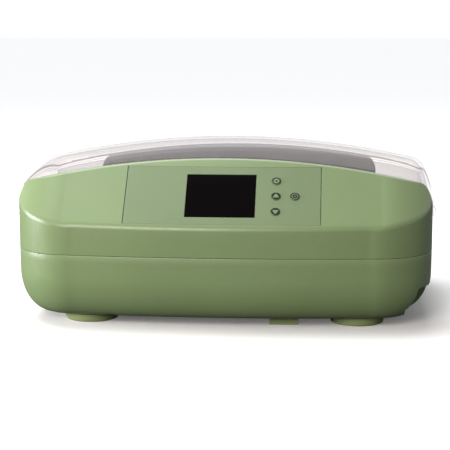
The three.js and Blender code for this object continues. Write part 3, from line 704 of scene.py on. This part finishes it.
def lid_wall_rings(wall):
    """Rings of the lid's leaning walls, close together where its painted dark lines run."""
    for w in (0, 0.3, 0.55, 0.7, *(edge for line in LID_SHADE_LINES for edge in line)):
        lean = LID_LEAN * w ** 1.2
        outline = lid_plan(wall + lean, wall, wall + LID_REAR_LEAN * lean)
        top = [roof_z(x, y) - shoulder_drop(y, 0, wall) for x, y in outline]
        yield [(x, y, LID_FOOT + (z - LID_FOOT) * w) for (x, y), z in zip(outline, top)]


def lid_tint(face):
    """Slot of a lid face: 1, the painted dark shade, on the painted lines and the shoulder's start; 2,
    a greyer tint, below them at the rear.
    """
    x, y, z = face.center / MM
    top = roof_z(x, y) - shoulder_drop(y, 0, 0)
    height = (z - LID_FOOT) / (top - LID_FOOT)
    outside = face.normal.x * x + face.normal.y * y > 0
    if not outside or y < CHAMBER_FRONT:
        return 0
    if 0 <= z - top < 1.1 or any(low < height < high for low, high in LID_SHADE_LINES):
        return 1
    return 2 if 0 < height < LID_SHADE_LINES[0][0] and y > LID_REAR - CORNER_R else 0


def shoulder_drop(y, rise, wall):
    """Fall below the roof: the shoulder is wide at the sides and tight along the rear."""
    rear = clamp((y - (LID_REAR - CORNER_R)) / (CORNER_R - 8), 0, 1)
    return (LID_SHOULDER - (LID_SHOULDER - LID_REAR_EDGE) * rear) * (1 - rise) + wall


def lid_solid(wall):
    """The lid's outer shape, or, given a wall thickness, the space under it."""
    rings, shoulder_steps = [], 10
    if wall == 0:
        base, eased = LID_LOW.z, LID_FLANGE - 0.2
        flange = ((eased, 0), (LID_FLANGE, 0.3), (LID_FLANGE, 1.5), (eased, 1.9))
        for grow, up in flange:
            rings.append(level(lid_plan(-grow, 0, -grow), base + up))
        rings.append(level(lid_plan(-0.3, 0, -0.3), FLANGE_TOP))
    else:
        rings.append(level(lid_plan(wall, wall, wall), LID_LOW.z - 2 * PAST))
        rings.append(level(lid_plan(wall, wall, wall), FLANGE_TOP))
    rings += lid_wall_rings(wall)
    for i in range(1, shoulder_steps + 1):
        a = QUARTER * i / shoulder_steps
        run = 1 - math.cos(a)
        outline = lid_plan(
            wall + LID_LEAN + LID_SHOULDER * 0.85 * run, wall + 0.6 * run,
            wall + LID_LEAN * LID_REAR_LEAN + LID_REAR_EDGE * run,
        )
        rings.append([(x, y, roof_z(x, y) - shoulder_drop(y, math.sin(a), wall)) for x, y in outline])
    edge = [(x, y) for x, y, _ in rings[-1]]
    middle_y = 20.0
    for share in (0.97, 0.92, 0.84, 0.74, 0.62, 0.5, 0.38, 0.26, 0.15, 0.06):
        points = [(x * share, middle_y + (y - middle_y) * share) for x, y in edge]
        rings.append([(x, y, roof_z(x, y) - wall) for x, y in points])
    return make("lid", *loft(rings))


def make_lid():
    lid = lid_solid(0.0)
    lid.name = "clear_lid_skin"
    body = prism(body_plan(-LID_ROOM), 60, LEDGE + GAP)
    xs = steps_between(-HALF_W - LID_ROOM, HALF_W + LID_ROOM, 240)
    inner = HALF_W / (HALF_W + LID_ROOM)

    def room(x):
        ahead, behind, low = -160, CHAMBER_FRONT + LID_ROOM, 20
        high = arch_z(x * inner, STEP_DROP) + 0.5
        return [(ahead, low), (behind, low), (behind, high), (ahead, high)]

    combine(lid, [lid_solid(LID_WALL), body, sweep("housing_room", xs, room)], sharp=28)
    dress(lid, CLEAR)
    lid.data.materials.append(CLEAR_PAINTED_SHADE)
    lid.data.materials.append(CLEAR_GREY_BAND)
    for face in lid.data.polygons:
        face.material_index = lid_tint(face)
    finish_piece(lid, "lid", "clear_lid", "clear_lid")


# ------------------------------------------------------------------ front controls
def make_panel():
    panel = fascia_slab("control_panel_overlay", PANEL, 0.0, PANEL_DEPTH, 0.35, 64)
    window = fascia_slab("window", widened(SCREEN, GAP, GAP), -2, 5, parts=24)
    combine(panel, [window, *key_holes()])
    even = panel.modifiers.new("even_shading", "WEIGHTED_NORMAL")
    even.keep_sharp = True
    even.weight = 80
    dress(panel, PANEL_GREEN)
    finish_piece(panel, "body", "panel", "control_panel")


def make_screen():
    lens = fascia_slab("display_lens", SCREEN, 0.1, 1.4, 0.3, 32, SCREEN_BLACK)
    finish_piece(lens, "body", "display_window", "display_window")


def flat_ring(name, outer, inner):
    """Thin printed ring for a key's top."""
    low, high = MARK_LOW, MARK_HIGH
    profile = [(inner, low), (outer, low), (outer, high), (inner, high), (inner, low)]
    return turned(name, profile, PRINT, 48)


def make_key(name, x, s):
    under, over = KEY_FLANGE
    cap = turned(f"{name}_key_cap", [
        (0, KEY_FOOT), (KEY_STEM_R, KEY_FOOT), (KEY_STEM_R, under), (KEY_FLANGE_R, under),
        (KEY_FLANGE_R, over), (KEY_R, over), (KEY_R, 0.15), (KEY_R - 0.1, 0.38),
        (KEY_R - 0.3, 0.5), (KEY_R - 0.6, KEY_TOP), (0, KEY_TOP),
    ], PANEL_GREEN, sides=48, sharp=50)
    moved(cap, facing(x, s))
    finish_piece(cap, f"{name}_key", "button", f"{name}_button")
    if name in ("up", "down"):
        way, r = 1 if name == "up" else -1, MARK_R + 0.05
        profile = [(0, MARK_LOW), (r, MARK_LOW), (r, MARK_HIGH), (0, MARK_HIGH)]
        disc = turned("arrow_disc", profile, PRINT, 48)
        head = prism([(a, b * way) for a, b in ARROW][::way], MARK_LOW - 1, MARK_HIGH + 1)
        marks = [combine(disc, [head])]
        dress(disc, PRINT)
    elif name == "set":
        marks = [flat_ring("ring", MARK_R, 2.3), flat_ring("dot", 0.75, 0.01)]
    else:
        marks = [flat_ring("ring", MARK_R, 2.4), flat_ring("inner_ring", 1.75, 0.65)]
    for index, mark in enumerate(marks):
        mark.name = f"{name}_key_mark_{index + 1}"
        moved(mark, facing(x, s))
        finish_piece(mark, f"{name}_key", "button")


# ------------------------------------------------------------------ feet and rollers
def make_feet():
    low, high = cad("foot_front_left")
    r, top = (high.x - low.x) / 2, high.z
    dish, dish_rim, dish_edge = 0.6, 6, 5.2  # the hollow in the tread: depth, and edges from the rim
    tread_edge, tread_round, flare, bevel = 1.8, 1.2, 3.0, 0.3
    profile = [(0, dish), (r - dish_rim, dish), (r - dish_edge, 0), (r - tread_edge, 0)]
    for a in (0.4, 0.8, 1.2, 1.57):
        out, up = tread_round * math.sin(a), tread_round - tread_round * math.cos(a)
        profile.append((r - tread_edge + out, up))
    profile += [(r, flare), (r, top - bevel), (r - bevel, top), (0, top)]
    for end in ("front", "rear"):
        for side in ("left", "right"):
            low, high = cad(f"foot_{end}_{side}")
            foot = turned(f"foot_{end}_{side}_round", profile, LIT_FOOT_GREEN, 72)
            centre = (low + high) / 2
            moved(foot, Matrix.Translation(Vector((centre.x, centre.y, 0)) * MM))
            finish_piece(foot, "body", "foot_green", f"foot_{end}_{side}")


def roller_profile(length):
    """Half section of a roller along its axis, from 0 to its length, with shallow grooves."""
    stub, wheel_w, wheel_slope, margin = 5.5, 6, 0.3, 10
    bevel, axle_bevel = 0.5, 0.4
    grooves, depth, half_w, half_floor = 9, 0.35, 1.6, 1.1
    start = [
        (0, 0), (AXLE_R - axle_bevel, 0), (AXLE_R, axle_bevel), (AXLE_R, stub),
        (WHEEL_R - bevel, stub), (WHEEL_R, stub + bevel), (WHEEL_R, stub + wheel_w - bevel),
        (WHEEL_R - bevel, stub + wheel_w), (ROLLER_R, stub + wheel_w + wheel_slope),
    ]
    points = list(start)
    for at in steps_between(stub + margin, length - stub - margin, grooves - 1):
        points += [(ROLLER_R, at - half_w), (ROLLER_R - depth, at - half_floor)]
        points += [(ROLLER_R - depth, at + half_floor), (ROLLER_R, at + half_w)]
    return points + [(radius, length - at) for radius, at in reversed(start)]


def make_rollers():
    low, high = cad("egg_roller_1")
    profile = roller_profile(high.y - low.y)
    turn = Matrix.Rotation(-QUARTER, 4, "X")
    for i in range(1, 7):
        low, high = cad(f"egg_roller_{i}")
        roller = turned(f"egg_roller_{i}_ribbed", profile, ROLLER_WHITE, 56)
        axis_foot = Vector(((low.x + high.x) / 2, low.y, low.z + WHEEL_R))
        moved(roller, Matrix.Translation(axis_foot * MM) @ turn)
        finish_piece(roller, f"roller_{i}", "roller_white", f"egg_roller_{i}")


# ------------------------------------------------------------------ air duct
def duct_section(x, inset):
    half = DUCT_HIGH.x - inset
    u = clamp((abs(x) - (half - DUCT_END)) / DUCT_END, 0, 1)
    fall = DUCT_END_FALL * (1 - math.sqrt(1 - u * u))
    top = DUCT_HIGH.z - inset - arch_drop(x, DUCT_R) - fall
    y0, y1 = DUCT_LOW.y + inset, DUCT_HIGH.y - inset
    low = DUCT_LOW.z - (2 * PAST if inset else 0)
    lip = DUCT_LIP - inset
    front = round_corner((y0, low), (y0, top), (y1, top), lip, 6)
    rear = round_corner((y0, top), (y1, top), (y1, low), lip, 6)
    return [(y0, low), *front, *rear, (y1, low)]


def duct_stations(inset):
    """Places along x of the duct's sections, close together at its rounded ends."""
    straight = DUCT_HIGH.x - inset - DUCT_END
    ends = [straight + DUCT_END * math.sin(a) for a in steps_between(0, QUARTER, 10)]
    middle = steps_between(-straight, straight, 80)[1:-1]
    return [-x for x in reversed(ends)] + middle + ends


def make_duct():
    duct = sweep("air_duct_cover", duct_stations(0), lambda x: duct_section(x, 0), sharp=40)
    room = sweep("room", duct_stations(DUCT_WALL), lambda x: duct_section(x, DUCT_WALL))
    y0 = DUCT_LOW.y
    mouth = cylinder(FAN_MOUTH_R, -3, 3, sides=72)
    place = Matrix.Translation(Vector((0, y0, FAN_Z)) * MM)
    moved(mouth, place @ Matrix.Rotation(QUARTER, 4, "X"))
    cuts = [room, mouth]
    for side in (-1, 1):
        for i in range(7):
            x = side * (SLOT_START + i * SLOT_PITCH)
            cuts.append(box(
                x - SLOT_HALF_W, x + SLOT_HALF_W, y0 - 1, y0 + 3, SLOT_LOW, SLOT_HIGH,
            ))
        x, half_w = side * DUCT_LINE["x"], DUCT_LINE["half_w"]
        cuts.append(box(
            x - half_w, x + half_w, y0 - 1, y0 + DUCT_LINE["depth"],
            DUCT_LINE["low"], DUCT_LINE["high"],
        ))
    combine(duct, cuts, sharp=40)
    dress(duct, DUCT_GREY)
    finish_piece(duct, "body", "duct_grey", "air_duct")


# ------------------------------------------------------------------ carried-over CAD nodes
def keep_node(node, material, bevel=0.25):
    """Gives a carried-over CAD node its material and soft edges."""
    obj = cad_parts[node]
    dress(obj, material)
    edge = obj.modifiers.new("soft_edges", "BEVEL")
    edge.width = bevel * MM
    edge.segments = 2
    edge.limit_method = "ANGLE"
    edge.angle_limit = math.radians(SHARP)
    edge.harden_normals = True


def dress_kept_nodes():
    for node in ("water_tray", "egg_floor", "egg_tray_frame", "drive_pinion"):
        keep_node(node, WHITE)
    for end in ("front", "rear"):
        for side in ("left", "right"):
            keep_node(f"case_screw_{end}_{side}", ZINC, 0.1)
    keep_node("front_rest_pad", LIT_FOOT_GREEN, 0.5)
    for node in ("display_module", "fan_frame", "fan_rotor", "relay", "capacitor"):
        keep_node(node, BLACK, 0.2)
    keep_node("mains_inlet", BLACK, 0.3)
    keep_node("fan_guard", DUCT_GREY, 0.2)
    for node in ("control_board", "power_board"):
        keep_node(node, BOARD, 0.15)
    for name in KEYS:
        keep_node(f"{name}_switch", STEEL, 0.1)
    keep_node("transformer", LAMINATION, 0.4)
    keep_node("mains_pin_front", PIN, 0.2)
    keep_node("mains_pin_rear", PIN, 0.2)
    keep_node("temperature_probe", STEEL, 0.15)
    keep_node("turning_motor", STEEL, 0.4)
    keep_node("heater", FIN, 0.1)


# ------------------------------------------------------------------ stage, light, camera
def make_stage():
    """Pale floor, which the camera sees brighter than it lights the object."""
    reach = 14.0 / MM
    verts = [(-reach, -reach, 0), (reach, -reach, 0), (reach, reach, 0), (-reach, reach, 0)]
    white = moulded(
        "studio_white", (0.995, 0.955, 0.95), rough=0.7, grain=0.00001, vary=0.005, specular=0.1,
    )
    tree = white.node_tree
    shader = tree.nodes["Principled BSDF"]
    shader.inputs["Emission Color"].default_value = (1, 1, 1, 1)
    shader.inputs["Emission Strength"].default_value = 0.11
    bounce = tree.nodes.new("ShaderNodeBsdfDiffuse")
    bounce.inputs["Color"].default_value = (0.16, 0.158, 0.165, 1)
    path = tree.nodes.new("ShaderNodeLightPath")
    mix = tree.nodes.new("ShaderNodeMixShader")
    tree.links.new(path.outputs["Is Camera Ray"], mix.inputs["Fac"])
    tree.links.new(bounce.outputs["BSDF"], mix.inputs[1])
    tree.links.new(shader.outputs["BSDF"], mix.inputs[2])
    tree.links.new(mix.outputs["Shader"], tree.nodes["Material Output"].inputs["Surface"])
    make("studio_floor", verts, [(0, 1, 2, 3)], white)


def area_light(name, location, size, power, colour=(1, 1, 1)):
    """Rectangular lamp that faces the middle of the object."""
    data = bpy.data.lights.new(name, "AREA")
    data.shape = "RECTANGLE"
    data.size, data.size_y = size
    data.energy = power
    data.color = colour
    lamp = bpy.data.objects.new(name, data)
    bpy.context.scene.collection.objects.link(lamp)
    lamp.location = location
    aim = Vector(LIGHT_AIM) - Vector(location)
    lamp.rotation_euler = aim.to_track_quat("-Z", "Y").to_euler()


def make_world():
    """White backdrop, which lights matt surfaces only as a dim pale room would."""
    world = bpy.data.worlds.new("studio")
    bpy.context.scene.world = world
    world.use_nodes = True
    tree = world.node_tree
    room = tree.nodes["Background"]
    room.inputs["Color"].default_value = (0.94, 0.95, 1.0, 1)
    room.inputs["Strength"].default_value = 0.15
    backdrop = tree.nodes.new("ShaderNodeBackground")
    backdrop.inputs["Color"].default_value = (1, 1, 1, 1)
    path = tree.nodes.new("ShaderNodeLightPath")
    mix = tree.nodes.new("ShaderNodeMixShader")
    tree.links.new(path.outputs["Is Diffuse Ray"], mix.inputs["Fac"])
    tree.links.new(backdrop.outputs["Background"], mix.inputs[1])
    tree.links.new(room.outputs["Background"], mix.inputs[2])
    tree.links.new(mix.outputs["Shader"], tree.nodes["World Output"].inputs["Surface"])


def make_light():
    overhead = bpy.data.lights.new("overhead", "SUN")
    overhead.energy = 2.4
    overhead.color = (0.92, 0.985, 1.0)
    overhead.angle = math.radians(40)
    sky = bpy.data.objects.new("overhead", overhead)
    sky.rotation_euler = (math.radians(-16), math.radians(-15), 0)
    bpy.context.scene.collection.objects.link(sky)
    area_light("rear_rim", location=(-0.3, 0.95, 1.35), size=(1.8, 0.5), power=6)
    area_light(
        "left_fill", location=(-1.55, -0.3, 0.32), size=(1.0, 0.6), power=33,
        colour=(0.95, 0.97, 1.0),
    )
    area_light(
        "front_fill", location=(-0.45, -1.5, 0.7), size=(0.7, 0.7), power=18,
        colour=(1.0, 0.96, 0.90),
    )
    bpy.context.scene.view_settings.view_transform = "Standard"


def make_camera():
    data = bpy.data.cameras.new("camera")
    data.sensor_width = SENSOR
    data.lens = SENSOR * FOCAL_WIDTHS
    camera = bpy.data.objects.new("camera", data)
    bpy.context.scene.collection.objects.link(camera)
    location = Vector((
        CAMERA_DISTANCE * math.sin(CAMERA_YAW), -CAMERA_DISTANCE * math.cos(CAMERA_YAW),
        CAMERA_HEIGHT,
    )) * MM
    camera.location = location
    aim = Vector(CAMERA_AIM) * MM - location
    camera.rotation_euler = aim.to_track_quat("-Z", "Y").to_euler()
    bpy.context.scene.camera = camera


# ------------------------------------------------------------------ build
make_camera()
make_world()
make_light()
make_stage()
make_base_shell()
make_upper_shell()
make_lid()
make_panel()
make_screen()
for key, (key_x, key_s) in KEYS.items():
    make_key(key, key_x, key_s)
make_feet()
make_rollers()
make_duct()
dress_kept_nodes()
